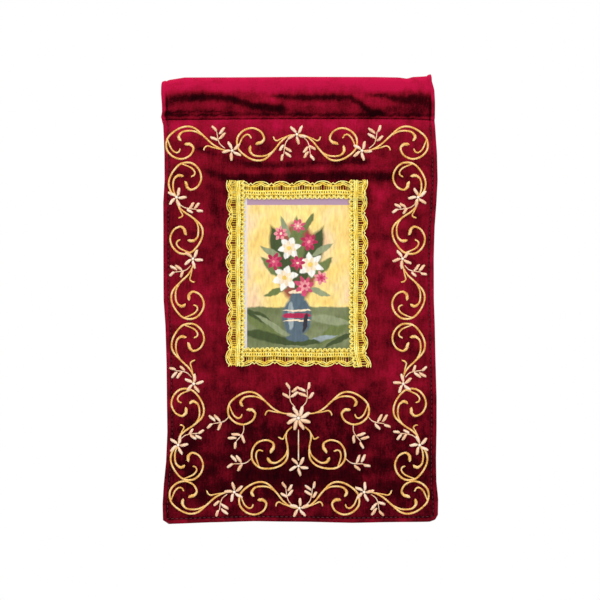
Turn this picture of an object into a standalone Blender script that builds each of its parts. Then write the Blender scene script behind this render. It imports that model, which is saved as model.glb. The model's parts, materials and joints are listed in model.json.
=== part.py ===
"""A small velvet church banner, hanging: a panel with turned hems below a rod pocket, and on its face a
picture card under a frame of four lengths of scalloped gold braid.

Metres, +Z up, the face of the cloth towards -Y, the origin at the middle of the top edge.
"""

from collections import namedtuple
from math import exp, pi, sin

import bmesh
import bpy
import numpy as np
from mathutils import Matrix, Vector

MM = 0.001
GAP = 0.3 * MM                  # air left between two pieces that touch

# The velvet, doubled by its backing. Its outline and its folds are the tables below.
VELVET = 1.4 * MM
PANEL_COLUMNS = 26
PANEL_ROWS = 36
PANEL_CROWDING = 0.09           # the columns stand closer towards both sides, where the corners are

# The pocket, an empty tube of the same velvet.
POCKET_COLUMNS = 22
POCKET_CENTRE = 0.9 * MM        # it stands further out behind the panel than in front of it
POCKET_SWELL = 0.4 * MM         # how much its fullness changes along it

# The printed card, and the opening of the braid frame that it shows through.
CARD = 1.0 * MM
WINDOW_WIDTH = 70.0 * MM
WINDOW_HEIGHT = 99.3 * MM
WINDOW_CENTRE = Vector((-2.0 * MM, 0.0, -130.7 * MM))
CARD_MARGIN = 4.0 * MM          # how far the card runs under the braid

# The braid: a flat woven band with round lobes along its outer edge.
BRAID = 1.2 * MM
BRAID_WIDTH = 12.2 * MM         # from the inner edge to the tip of a lobe
LOBE = 2.0 * MM                 # depth of the notches between the lobes
COLUMNS_PER_LOBE = 6
BRAID_DROP_START = 4.8 * MM     # the band leaves the card here and reaches the velvet at the next line
BRAID_DROP_END = 7.0 * MM

# Flat part of the velvet, stiffened by the card and the braid, and the width over which the folds start.
CALM_MARGIN = 14.5 * MM
CALM_FADE = 12.0 * MM

# Both side edges of the whole banner, from the top down, in millimetres.
Side = namedtuple("Side", "drop left right")
SIDES = (
    Side(drop=3.6, left=-92.3, right=87.7),
    Side(drop=8.0, left=-92.3, right=89.3),
    Side(drop=16.0, left=-91.8, right=89.8),
    Side(drop=22.0, left=-91.8, right=89.9),
    Side(drop=25.5, left=-92.6, right=89.9),
    Side(drop=28.2, left=-92.0, right=89.8),
    Side(drop=31.0, left=-91.2, right=90.1),
    Side(drop=50.0, left=-90.4, right=91.4),
    Side(drop=68.0, left=-90.3, right=91.8),
    Side(drop=83.0, left=-91.2, right=91.0),
    Side(drop=99.0, left=-91.1, right=89.8),
    Side(drop=120.0, left=-91.1, right=89.2),
    Side(drop=148.0, left=-91.0, right=89.3),
    Side(drop=165.0, left=-89.8, right=89.9),
    Side(drop=190.0, left=-89.1, right=90.4),
    Side(drop=215.0, left=-88.9, right=91.1),
    Side(drop=236.0, left=-88.6, right=91.1),
    Side(drop=256.0, left=-89.4, right=90.8),
    Side(drop=272.0, left=-90.9, right=91.1),
    Side(drop=286.0, left=-91.7, right=92.3),
    Side(drop=297.0, left=-91.4, right=92.1),
)

# The three lines that cross the banner, each from left to right, in millimetres.
Cross = namedtuple("Cross", "across drop")
TOP_FOLD = (
    Cross(across=-92.3, drop=3.6),
    Cross(across=-87.0, drop=2.0),
    Cross(across=-77.0, drop=0.4),
    Cross(across=-40.0, drop=0.3),
    Cross(across=0.0, drop=0.0),
    Cross(across=50.0, drop=0.1),
    Cross(across=66.0, drop=0.4),
    Cross(across=71.5, drop=1.2),
    Cross(across=75.0, drop=0.1),
    Cross(across=83.0, drop=-0.3),
    Cross(across=87.3, drop=-1.6),
    Cross(across=90.0, drop=1.5),
)
SEAM = (
    Cross(across=-92.0, drop=28.2),
    Cross(across=-40.0, drop=27.6),
    Cross(across=40.0, drop=27.3),
    Cross(across=75.0, drop=27.6),
    Cross(across=92.0, drop=28.6),
)
BOTTOM_HEM = (
    Cross(across=-91.6, drop=295.0),
    Cross(across=-87.5, drop=297.7),
    Cross(across=-75.0, drop=297.2),
    Cross(across=-60.0, drop=296.5),
    Cross(across=-30.0, drop=295.8),
    Cross(across=5.0, drop=296.3),
    Cross(across=35.0, drop=296.9),
    Cross(across=55.0, drop=296.4),
    Cross(across=86.5, drop=296.3),
    Cross(across=90.2, drop=295.0),
    Cross(across=92.2, drop=291.5),
)

# Half of the pocket's section, from its top fold to its seam: part of the height, half of the depth in mm.
Section = namedtuple("Section", "part depth")
POCKET_SECTION = (
    Section(part=0.00, depth=0.0),
    Section(part=0.03, depth=2.4),
    Section(part=0.10, depth=4.1),
    Section(part=0.22, depth=5.0),
    Section(part=0.38, depth=5.3),
    Section(part=0.54, depth=5.0),
    Section(part=0.70, depth=4.0),
    Section(part=0.85, depth=2.8),
    Section(part=0.97, depth=1.7),
    Section(part=1.00, depth=0.0),
)

# The soft folds of the panel: the middle of each ridge, half of its length and of its width, its slope from
# level in turns of pi, and how far it comes forward (minus: goes back). All lengths in millimetres.
Fold = namedtuple("Fold", "across drop length width slope rise")
FOLDS = (
    Fold(across=8.0, drop=60.0, length=62.0, width=6.0, slope=0.01, rise=1.3),
    Fold(across=-62.0, drop=58.0, length=20.0, width=6.0, slope=-0.22, rise=1.2),
    Fold(across=72.0, drop=66.0, length=18.0, width=7.0, slope=0.15, rise=-1.0),
    Fold(across=0.0, drop=40.0, length=90.0, width=6.0, slope=0.0, rise=-0.9),
    Fold(across=-74.0, drop=150.0, length=60.0, width=8.0, slope=0.5, rise=1.0),
    Fold(across=70.0, drop=155.0, length=60.0, width=9.0, slope=0.48, rise=1.1),
    Fold(across=-90.0, drop=225.0, length=55.0, width=8.0, slope=0.5, rise=-1.6),
    Fold(across=-52.0, drop=255.0, length=50.0, width=10.0, slope=0.47, rise=1.5),
    Fold(across=4.0, drop=262.0, length=44.0, width=12.0, slope=0.52, rise=-1.2),
    Fold(across=50.0, drop=258.0, length=48.0, width=11.0, slope=0.51, rise=1.4),
    Fold(across=90.0, drop=280.0, length=30.0, width=8.0, slope=0.5, rise=-1.5),
)

# The four lengths of braid, clockwise: where the middle of the inner edge lies in the window, in halves of
# its size, how far the band is turned, its length in mm, its lobes, and whether it laps over the others.
Strip = namedtuple("Strip", "name side height turn length lobes laps")
STRIPS = (
    Strip(name="braid_top", side=0, height=1, turn=0.0, length=91.6, lobes=7, laps=False),
    Strip(name="braid_right", side=1, height=0, turn=-pi / 2, length=124.4, lobes=9, laps=True),
    Strip(name="braid_bottom", side=0, height=-1, turn=pi, length=91.6, lobes=7, laps=False),
    Strip(name="braid_left", side=-1, height=0, turn=pi / 2, length=123.4, lobes=9, laps=True),
)

CRIMSON = (0.19, 0.004, 0.016)
GOLD = (0.70, 0.42, 0.07)
CARD_YELLOW = (0.72, 0.52, 0.20)


def line(table, key, value, at):
    """The value column of a table, read between its rows at a place in its key column, in metres."""
    keys = [getattr(row, key) for row in table]
    values = [getattr(row, value) for row in table]
    return float(np.interp(at / MM, keys, values)) * MM


def side_edges(drop):
    return line(SIDES, "drop", "left", drop), line(SIDES, "drop", "right", drop)


def ease(value):
    """0 below 0, 1 above 1 and a smooth step between."""
    value = min(max(value, 0.0), 1.0)
    return value * value * (3.0 - 2.0 * value)


def calm(across, drop):
    """0 where the card and the braid keep the velvet flat, and 1 well away from them."""
    beside = abs(across - WINDOW_CENTRE.x) - WINDOW_WIDTH / 2
    above = abs(-drop - WINDOW_CENTRE.z) - WINDOW_HEIGHT / 2
    return ease((max(beside, above) - CALM_MARGIN) / CALM_FADE)


def lie(across, drop):
    """How far back the middle of the velvet lies: its folds, gone at the seam and behind the card."""
    depth = 0.0
    for fold in FOLDS:
        centre = Vector((fold.across * MM, -fold.drop * MM))
        local = Matrix.Rotation(-fold.slope * pi, 2) @ (Vector((across, -drop)) - centre)
        along, over = local.x / (fold.length * MM), local.y / (fold.width * MM)
        depth -= fold.rise * MM * exp(-along * along - over * over)
    below_seam = ease((drop - line(SEAM, "across", "drop", across)) / CALM_FADE)
    return depth * calm(across, drop) * below_seam


def finish(name, colour, roughness, metallic=0.0):
    material = bpy.data.materials.new(name)
    material.use_nodes = True
    shader = material.node_tree.nodes["Principled BSDF"]
    shader.inputs["Base Color"].default_value = (*colour, 1.0)
    shader.inputs["Roughness"].default_value = roughness
    shader.inputs["Metallic"].default_value = metallic
    return material


def cloth(name, columns, rows, place, thickness, material, inwards=0.0):
    """A sheet: a grid whose points place(u, v) puts down, u and v from 0 to 1, then its thickness."""
    shape = bmesh.new()
    bmesh.ops.create_grid(shape, x_segments=columns, y_segments=rows, size=0.5)
    for vertex in shape.verts:
        vertex.co = place(vertex.co.x + 0.5, vertex.co.y + 0.5)
    bmesh.ops.remove_doubles(shape, verts=shape.verts, dist=0.05 * MM)
    mesh = bpy.data.meshes.new(name)
    shape.to_mesh(mesh)
    shape.free()
    mesh.shade_smooth()
    mesh.materials.append(material)
    piece = bpy.data.objects.new(name, mesh)
    banner.objects.link(piece)
    wall = piece.modifiers.new("Thickness", "SOLIDIFY")
    wall.thickness = thickness
    wall.offset = -inwards
    return piece


def panel_point(u, v):
    """Level rows from the seam to the bottom hem, each as wide as the banner is there."""
    level = SEAM[1].drop + (1.0 - v) * (BOTTOM_HEM[3].drop - SEAM[1].drop)
    left, right = side_edges(level * MM)
    across = left + (u - PANEL_CROWDING * sin(2.0 * pi * u)) * (right - left)
    top = line(SEAM, "across", "drop", across) + GAP
    bottom = line(BOTTOM_HEM, "across", "drop", across)
    drop = bottom + v * (top - bottom)
    return Vector((across, lie(across, drop), -drop))


def pocket_point(u, v):
    """Round the section: up the front from the seam, over the top fold and down the back."""
    row = v * 2 * (len(POCKET_SECTION) - 1)
    step = len(POCKET_SECTION) - 1 - round(row)
    section = POCKET_SECTION[abs(step)]
    front = -1.0 if step > 0 else 1.0
    left, right = side_edges(section.part * SEAM[1].drop * MM)
    across = left + u * (right - left)
    top = line(TOP_FOLD, "across", "drop", across)
    bottom = line(SEAM, "across", "drop", across)
    swell = POCKET_SWELL * sin(3.0 * pi * u + 1.0) * sin(pi * section.part)
    return Vector((
        across,
        POCKET_CENTRE + front * (section.depth * MM + swell),
        -(top + section.part * (bottom - top)),
    ))


def add_panel():
    cloth("velvet_panel", PANEL_COLUMNS, PANEL_ROWS, panel_point, VELVET, velvet)


def add_pocket():
    rows = 2 * (len(POCKET_SECTION) - 1)
    cloth("rod_pocket", POCKET_COLUMNS, rows, pocket_point, VELVET, velvet, inwards=1.0)


def add_card():
    width = WINDOW_WIDTH + 2 * CARD_MARGIN
    height = WINDOW_HEIGHT + 2 * CARD_MARGIN
    middle = -(VELVET / 2 + GAP + CARD / 2)

    def card_point(u, v):
        return WINDOW_CENTRE + Vector(((u - 0.5) * width, middle, (v - 0.5) * height))

    cloth("picture_card", 2, 3, card_point, CARD, card)


def add_braid(strip):
    """One length of braid, stepping down from the card to the velvet; a lapping one steps up at its ends."""
    on_velvet = -(VELVET / 2 + GAP + BRAID / 2)
    on_card = on_velvet - CARD - GAP
    on_braid = on_card - BRAID - GAP
    length = strip.length * MM
    halves = Vector((strip.side * WINDOW_WIDTH / 2, 0.0, strip.height * WINDOW_HEIGHT / 2))
    turn = Matrix.Rotation(-strip.turn, 4, "Y")
    lap = BRAID_WIDTH + 2.0 * MM
    lines = (0.0, BRAID_DROP_START, BRAID_DROP_END, BRAID_WIDTH)

    def braid_point(u, v):
        along = (u - 0.5) * length
        notch = LOBE * (1.0 - abs(sin(pi * u * strip.lobes)))
        row = round(v * (len(lines) - 1))
        out = lines[row] - (notch if row == len(lines) - 1 else 0.0)
        depth = on_card if row < 2 else on_velvet
        if strip.laps:
            to_end = length / 2 - abs(along)
            depth += (on_braid - depth) * ease((lap + LOBE - to_end) / LOBE)
        return WINDOW_CENTRE + halves + turn @ Vector((along, depth, out))

    cloth(strip.name, COLUMNS_PER_LOBE * strip.lobes, len(lines) - 1, braid_point, BRAID, gold)


for leftover in list(bpy.data.objects):
    bpy.data.objects.remove(leftover, do_unlink=True)

banner = bpy.data.collections.new("church_banner")
bpy.context.scene.collection.children.link(banner)

velvet = finish("crimson_velvet", CRIMSON, roughness=0.85)
gold = finish("gold_braid", GOLD, roughness=0.45, metallic=0.3)
card = finish("printed_card", CARD_YELLOW, roughness=0.35)

add_panel()
add_pocket()
add_card()
for length_of_braid in STRIPS:
    add_braid(length_of_braid)
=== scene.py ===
"""A church banner: crimson velvet with a rod pocket, gold-thread scrolls, and a print framed in gimp braid."""

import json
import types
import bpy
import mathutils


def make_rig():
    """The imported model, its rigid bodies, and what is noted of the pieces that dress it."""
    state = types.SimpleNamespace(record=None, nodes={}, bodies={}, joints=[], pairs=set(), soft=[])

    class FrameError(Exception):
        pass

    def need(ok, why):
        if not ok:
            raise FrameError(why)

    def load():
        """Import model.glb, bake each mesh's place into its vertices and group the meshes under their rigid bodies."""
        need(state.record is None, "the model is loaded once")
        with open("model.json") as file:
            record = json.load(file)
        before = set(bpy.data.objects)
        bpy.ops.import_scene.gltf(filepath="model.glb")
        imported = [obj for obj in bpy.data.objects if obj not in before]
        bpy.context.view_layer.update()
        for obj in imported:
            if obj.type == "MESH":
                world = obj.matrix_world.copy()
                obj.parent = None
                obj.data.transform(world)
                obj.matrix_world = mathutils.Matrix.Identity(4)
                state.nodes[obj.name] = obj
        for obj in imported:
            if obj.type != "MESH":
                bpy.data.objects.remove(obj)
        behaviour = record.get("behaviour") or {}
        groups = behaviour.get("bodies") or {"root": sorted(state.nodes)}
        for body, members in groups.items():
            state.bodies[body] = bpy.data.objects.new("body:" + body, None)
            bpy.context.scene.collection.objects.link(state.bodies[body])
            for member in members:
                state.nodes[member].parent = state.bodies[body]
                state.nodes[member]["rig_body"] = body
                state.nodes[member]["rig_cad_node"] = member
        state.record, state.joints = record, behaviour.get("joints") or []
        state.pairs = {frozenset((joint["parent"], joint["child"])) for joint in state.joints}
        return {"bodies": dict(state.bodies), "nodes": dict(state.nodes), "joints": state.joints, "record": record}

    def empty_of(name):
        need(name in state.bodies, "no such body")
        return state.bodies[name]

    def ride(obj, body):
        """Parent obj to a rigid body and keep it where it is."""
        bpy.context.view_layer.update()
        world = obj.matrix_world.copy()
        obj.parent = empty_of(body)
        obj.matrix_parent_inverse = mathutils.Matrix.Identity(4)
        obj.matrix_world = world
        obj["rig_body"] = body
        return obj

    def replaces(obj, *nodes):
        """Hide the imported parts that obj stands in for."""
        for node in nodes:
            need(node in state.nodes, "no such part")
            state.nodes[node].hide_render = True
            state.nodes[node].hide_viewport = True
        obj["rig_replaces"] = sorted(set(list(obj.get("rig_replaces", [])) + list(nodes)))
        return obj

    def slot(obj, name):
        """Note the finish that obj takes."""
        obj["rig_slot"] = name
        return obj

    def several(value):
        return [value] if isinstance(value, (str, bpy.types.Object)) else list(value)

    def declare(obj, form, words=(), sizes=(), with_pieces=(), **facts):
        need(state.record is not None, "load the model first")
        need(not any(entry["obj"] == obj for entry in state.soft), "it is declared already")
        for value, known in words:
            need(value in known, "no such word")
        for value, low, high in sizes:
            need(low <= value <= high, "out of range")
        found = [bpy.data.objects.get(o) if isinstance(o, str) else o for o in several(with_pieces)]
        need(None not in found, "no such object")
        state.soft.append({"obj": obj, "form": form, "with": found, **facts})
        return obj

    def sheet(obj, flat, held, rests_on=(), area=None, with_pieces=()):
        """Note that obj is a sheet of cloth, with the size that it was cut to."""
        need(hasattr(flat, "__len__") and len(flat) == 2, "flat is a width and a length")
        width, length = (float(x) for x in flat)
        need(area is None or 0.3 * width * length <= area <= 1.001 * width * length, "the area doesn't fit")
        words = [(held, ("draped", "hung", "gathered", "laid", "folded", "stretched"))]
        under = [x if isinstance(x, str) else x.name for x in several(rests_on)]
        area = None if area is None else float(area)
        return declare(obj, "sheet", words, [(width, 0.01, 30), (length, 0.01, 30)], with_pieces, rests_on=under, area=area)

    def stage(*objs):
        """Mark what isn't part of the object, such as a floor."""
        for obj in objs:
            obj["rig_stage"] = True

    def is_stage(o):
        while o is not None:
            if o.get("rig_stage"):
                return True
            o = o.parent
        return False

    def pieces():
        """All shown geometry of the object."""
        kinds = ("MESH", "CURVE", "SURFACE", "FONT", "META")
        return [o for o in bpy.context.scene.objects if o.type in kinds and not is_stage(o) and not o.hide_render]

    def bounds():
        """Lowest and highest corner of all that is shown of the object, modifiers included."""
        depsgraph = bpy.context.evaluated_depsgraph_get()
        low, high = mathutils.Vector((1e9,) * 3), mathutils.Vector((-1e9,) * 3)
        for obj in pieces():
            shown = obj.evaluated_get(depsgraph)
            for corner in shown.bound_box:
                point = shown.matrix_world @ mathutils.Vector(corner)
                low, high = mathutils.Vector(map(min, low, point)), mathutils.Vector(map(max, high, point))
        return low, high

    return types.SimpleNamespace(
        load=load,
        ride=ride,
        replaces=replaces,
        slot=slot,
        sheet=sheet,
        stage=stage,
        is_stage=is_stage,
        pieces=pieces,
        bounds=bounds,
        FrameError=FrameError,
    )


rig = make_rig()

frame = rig.load()
cad_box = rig.bounds()

import json
import math
from collections import namedtuple
from functools import partial

import bmesh
import bpy
import numpy as np
from mathutils import Matrix, Vector

MM = 0.001


# ---------------------------------------------------------------- camera, light and floor
# The banner hangs in a white studio, and the camera looks square at its face. A wide soft light stands
# above and in front, weaker ones at the right and behind, and one over the pale floor far below.
FRAMED = 0.4
LENS = 85.0
SENSOR = 36.0
EYE_HEIGHT = -0.1483
LAMPS_AIM = (0.0, 0.0, -0.15)
SKY_LIGHT = 0.42
SKY_SEEN = 1.0
FLOOR_DROP = 1.25
FLOOR_HALF = 2.4

camera = bpy.data.objects.new("camera", bpy.data.cameras.new("camera"))
camera.data.lens = LENS
camera.data.sensor_width = SENSOR
camera.data.clip_start = 0.01
camera.location = (0.0, -FRAMED * LENS / SENSOR, EYE_HEIGHT)
camera.rotation_euler = (math.pi / 2, 0.0, 0.0)
bpy.context.scene.collection.objects.link(camera)
bpy.context.scene.camera = camera
bpy.context.scene.view_settings.view_transform = "Standard"

Lamp = namedtuple("Lamp", "name place size watts")
for lamp in (
    Lamp("key_light", (-0.35, -1.15, 0.85), 1.1, 15.0),
    Lamp("fill_light", (0.9, -1.2, -0.1), 1.2, 5.0),
    Lamp("back_light", (0.3, 1.3, 0.7), 1.2, 12.0),
    Lamp("floor_light", (0.0, 0.2, 2.2), 3.0, 60.0),
):
    light = bpy.data.lights.new(lamp.name, "AREA")
    light.size = lamp.size
    light.energy = lamp.watts
    holder = bpy.data.objects.new(lamp.name, light)
    holder.location = lamp.place
    holder.rotation_euler = (Vector(LAMPS_AIM) - holder.location).to_track_quat("-Z", "Y").to_euler()
    bpy.context.scene.collection.objects.link(holder)

studio = bpy.data.worlds.new("studio")
studio.use_nodes = True
bpy.context.scene.world = studio
sky = studio.node_tree.nodes["Background"]
sky.inputs["Color"].default_value = (1.0, 1.0, 1.0, 1.0)
seen = studio.node_tree.nodes.new("ShaderNodeLightPath")
glow = studio.node_tree.nodes.new("ShaderNodeMapRange")
glow.inputs["To Min"].default_value = SKY_LIGHT
glow.inputs["To Max"].default_value = SKY_SEEN
studio.node_tree.links.new(seen.outputs["Is Camera Ray"], glow.inputs["Value"])
studio.node_tree.links.new(glow.outputs["Result"], sky.inputs["Strength"])


def add_piece(name, bm, material, smooth=True):
    """The finished bmesh as an object at the origin, with its material."""
    mesh = bpy.data.meshes.new(name)
    bm.to_mesh(mesh)
    bm.free()
    mesh.materials.append(material)
    mesh.polygons.foreach_set("use_smooth", [smooth] * len(mesh.polygons))
    piece = bpy.data.objects.new(name, mesh)
    bpy.context.scene.collection.objects.link(piece)
    return piece


class Nodes:
    """Adds nodes to one tree and links them: a value that is a socket is linked, and any other is set."""

    def __init__(self, tree):
        self.tree = tree

    def add(self, kind, into=None, **settings):
        node = self.tree.nodes.new("ShaderNode" + kind)
        for key, value in settings.items():
            setattr(node, key, value)
        for socket, value in (into or {}).items():
            self.put(node.inputs[socket], value)
        return node

    def put(self, socket, value):
        if isinstance(value, bpy.types.NodeSocket):
            self.tree.links.new(value, socket)
        else:
            socket.default_value = value

    def math(self, operation, *values, clamp=False):
        node = self.add("Math", operation=operation, use_clamp=clamp)
        for socket, value in zip(node.inputs, values):
            self.put(socket, value)
        return node.outputs[0]

    def noise(self, where, scale, detail=2.0, rough=0.5):
        into = {"Vector": where, "Scale": scale, "Detail": detail, "Roughness": rough}
        return self.add("TexNoise", into).outputs[0]

    def place(self):
        return self.add("TexCoord").outputs["Object"]

    def bump(self, shader, strength, distance, height):
        node = self.add("Bump", {"Strength": strength, "Distance": distance, "Height": height})
        self.put(shader.inputs["Normal"], node.outputs[0])

    def span(self, value, low, high, to_low=0.0, to_high=1.0):
        ends = {"Value": value, "From Min": low, "From Max": high, "To Min": to_low, "To Max": to_high}
        return self.add("MapRange", ends).outputs[0]

    def tones(self, value, *stops):
        """A colour ramp through (place, red, green, blue) stops."""
        node = self.add("ValToRGB", {"Fac": value})
        ramp = node.color_ramp.elements
        while len(ramp) < len(stops):
            ramp.new(0.5)
        for element, (place, *colour) in zip(ramp, stops):
            element.position = place
            element.color = (*colour, 1.0)
        return node.outputs[0]

    def mix(self, part, first, second, how="MIX"):
        node = self.add("Mix", data_type="RGBA", blend_type=how)
        for index, value in ((0, part), (6, first), (7, second)):
            self.put(node.inputs[index], value)
        return node.outputs[2]


def new_material(name, **constants):
    """(material, its Nodes, its Principled shader) with the constants set on the shader's own sockets."""
    material = bpy.data.materials.new(name)
    material.use_nodes = True
    shader = material.node_tree.nodes["Principled BSDF"]
    for socket, value in constants.items():
        shader.inputs[socket.replace("_", " ")].default_value = value
    return material, Nodes(material.node_tree), shader


def new_group(name, inputs, outputs):
    """(tree, its Nodes, its given outputs, its result inputs) with a float socket per name, or a colour's."""
    tree = bpy.data.node_groups.new(name, "ShaderNodeTree")
    for sockets, way in ((inputs, "INPUT"), (outputs, "OUTPUT")):
        for socket in sockets:
            kind = "NodeSocketColor" if socket in ("Deep", "Middle", "Bright", "Color") else "NodeSocketFloat"
            tree.interface.new_socket(name=socket, in_out=way, socket_type=kind)
    given = tree.nodes.new("NodeGroupInput").outputs
    return tree, Nodes(tree), given, tree.nodes.new("NodeGroupOutput").inputs


plaster, build, shader = new_material("pale_floor", Roughness=0.8)
where = build.place()
build.put(shader.inputs["Base Color"], build.tones(
    build.noise(where, 3.0), (0, 0.86, 0.86, 0.85), (1, 0.92, 0.92, 0.91)))
ground = bmesh.new()
bmesh.ops.create_grid(ground, x_segments=4, y_segments=4, size=FLOOR_HALF)
bmesh.ops.translate(ground, vec=(0, 0, -FLOOR_DROP), verts=ground.verts)
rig.stage(add_piece("floor", ground, plaster))


# ---------------------------------------------------------------- velvet panel
# One cut of crimson cotton velvet with its sides and foot turned to the back and top-stitched, so it
# has a thicker border with a stitched groove. It hangs almost flat, with a few slack waves. Its lighter
# and darker patches are partly its pile, brushed this way and that, and partly painted light and shade:
# lighter at the head, darker towards the foot, and painted shade along the waves. Lengths are in mm.
VELVET = 1.4
GAP = 0.3
HEM = 3.3
HEM_PLUMP = 0.30
HEM_GROOVE = 0.55
TURNED_WIDE = 7.4
TURNED_THICK = 0.65
BACK_PILE = 0.40

Side = namedtuple("Side", "drop left right")
Cross = namedtuple("Cross", "across drop")
Wave = namedtuple("Wave", "across drop length width slope rise")
SIDES = [Side(*row) for row in (
    (3.6, -92.3, 87.7), (8, -92.3, 89.3), (16, -91.8, 89.8), (22, -91.8, 89.9), (25.5, -92.6, 89.9),
    (28.2, -92.0, 89.8), (31, -91.2, 90.1), (50, -90.4, 91.4), (68, -90.3, 91.8), (83, -91.2, 91.0),
    (99, -91.1, 89.8), (120, -91.1, 89.2), (148, -91.0, 89.3), (165, -89.8, 89.9), (190, -89.1, 90.4),
    (215, -88.9, 91.1), (236, -88.6, 91.1), (256, -89.4, 90.8), (272, -90.9, 91.1), (286, -91.7, 92.3),
    (297, -91.4, 92.1),
)]
SEAM = [Cross(*row) for row in ((-92, 28.2), (-40, 27.6), (40, 27.3), (75, 27.6), (92, 28.6))]
FOOT = [Cross(*row) for row in (
    (-91.6, 295), (-87.5, 297.7), (-75, 297.2), (-60, 296.5), (-30, 295.8), (5, 296.3), (35, 296.9),
    (55, 296.4), (86.5, 296.3), (90.2, 295), (92.2, 291.5),
)]
FOLDS = [Wave(*row) for row in (
    (8, 60, 62, 6, 0.01, 1.3), (-62, 58, 20, 6, -0.22, 1.2), (72, 66, 18, 7, 0.15, -1.0),
    (0, 40, 90, 6, 0, -0.9), (-74, 150, 60, 8, 0.5, 1.0), (70, 155, 60, 9, 0.48, 1.1),
    (-90, 225, 55, 8, 0.5, -1.6), (-52, 255, 50, 10, 0.47, 1.5), (4, 262, 44, 12, 0.52, -1.2),
    (50, 258, 48, 11, 0.51, 1.4), (90, 280, 30, 8, 0.5, -1.5),
)]
# Patches of brushed pile and of painted light and shade on the slack waves: lighter (+) or darker (-) than the cloth
# round it.
BRUSHED_AND_SHADED = [Wave(*row) for row in (
    (0, 31, 120, 6, 0, 0.24), (-76, 32, 14, 10, 0, 0.06), (52, 80, 5, 10, 0, 0.26), (64, 96, 9, 22, 0, 0.08),
    (-76, 92, 12, 14, 0.3, 0.05), (-62, 118, 9, 12, 0.2, -0.12), (-66, 150, 8, 26, 0, 0.10),
    (70, 132, 9, 20, 0, 0.08), (68, 176, 9, 8, 0.2, -0.18), (-60, 182, 8, 12, 0, -0.06),
    (0, 199, 66, 6, 0, 0.10), (72, 207, 10, 22, 0.1, 0.10), (-80, 214, 7, 26, 0, 0.06),
    (-8, 246, 58, 26, 0, -0.10),
    (2, 268, 44, 16, 0, -0.08), (70, 262, 9, 26, 0, -0.06), (-72, 262, 12, 16, 0, -0.08),
    (60, 216, 4, 20, 0, 0.16), (-14, 226, 24, 9, 0.05, 0.06), (-2, 288, 90, 5, 0, 0.04),
    (66, 190, 14, 6, 0.1, 0.08), (-52, 92, 8, 12, 0, -0.08), (-70, 64, 8, 8, 0.2, 0.08),
)]
# Bent bands of painted shade and light on the ridges above the print, where the pile also lies over: (across, drop,
# half width) along each, and how it shows.
Band = namedtuple("Band", "line shows")
PANEL_SHADE_BANDS = [Band(*row) for row in (
    (((-70, 47, 1.5), (-59, 50, 2.2), (-47, 54.5, 2.5), (-35, 57.3, 2.2), (-17, 59, 2), (14, 57, 2),
      (47, 55.5, 2)), -0.24),
    (((-42, 62, 1.5), (-17, 62, 2.2), (10, 60.5, 2.2), (39, 60.8, 2.2), (58, 62, 1.5)), 0.12),
    (((-62, 63, 2), (-45, 67.5, 3), (-27, 66.5, 3), (10, 66.5, 3.2), (32, 65.5, 3.2), (46, 66, 3.4),
      (62, 66.5, 3)), -0.30),
)]
# How light the velvet shows from the top of the banner to its foot, before the patches: the pile's tone with painted
# light at the head and painted shade towards the foot.
PILE_AND_SHADE = (
    (28, 0.60), (48, 0.50), (75, 0.42), (120, 0.50), (170, 0.50), (200, 0.42), (235, 0.33), (270, 0.27),
    (297, 0.36),
)

PRINT_MIDDLE = (-2.0, 130.7)
PRINT_SIZE = (70.0, 99.3)


def ease(value):
    value = np.clip(value, 0.0, 1.0)
    return value * value * (3.0 - 2.0 * value)


def along(table, key, value, at):
    return np.interp(at, [getattr(row, key) for row in table], [getattr(row, value) for row in table])


def drop_of(table, across):
    return along(table, "across", "drop", across)


def sides(drop):
    """The left and right edges of the cloth at a drop."""
    return along(SIDES, "drop", "left", drop), along(SIDES, "drop", "right", drop)


def waves(table, across, drop):
    """The sum of long soft waves, each with its own place, length, width and turn."""
    total = np.zeros(np.broadcast(across, drop).shape)
    for wave in table:
        turn = -wave.slope * math.pi
        x, up = across - wave.across, wave.drop - drop
        on = (x * math.cos(turn) - up * math.sin(turn)) / wave.length
        over = (x * math.sin(turn) + up * math.cos(turn)) / wave.width
        total = total + wave.rise * np.exp(-on * on - over * over)
    return total


def bands(table, across, drop):
    """How the bent bands of painted shade and of brushed nap show, fading out at their ends and edges."""
    total = np.zeros(np.broadcast(across, drop).shape)
    for band in table:
        place, middle, half = np.array(band.line).T
        inside = ease((across - place[0]) / 8.0 + 0.5) * ease((place[-1] - across) / 8.0 + 0.5)
        over = np.abs(drop - np.interp(across, place, middle)) / np.interp(across, place, half)
        total = total + band.shows * inside * np.exp(-(over**2.6))
    return total


def lie(across, drop):
    """How far back of its own plane the velvet lies, in millimetres: flat under the print, and at the seam."""
    beside = np.abs(across - PRINT_MIDDLE[0]) - PRINT_SIZE[0] / 2
    above = np.abs(drop - PRINT_MIDDLE[1]) - PRINT_SIZE[1] / 2
    calm = ease((np.maximum(beside, above) - 14.5) / 12.0)
    held = ease((drop - drop_of(SEAM, across)) / 12.0)
    return -waves(FOLDS, across, drop) * calm * held


def crowded(length, step, first, last):
    """Places from 0 to 1 along a length in mm: close together at the hems, then a step apart."""
    inner = length - first[-1] - last[-1]
    middle = np.linspace(0, inner, round(inner / step) + 1)[1:-1] + first[-1]
    return np.concatenate([first, middle, length - np.array(last[::-1])]) / length


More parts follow.
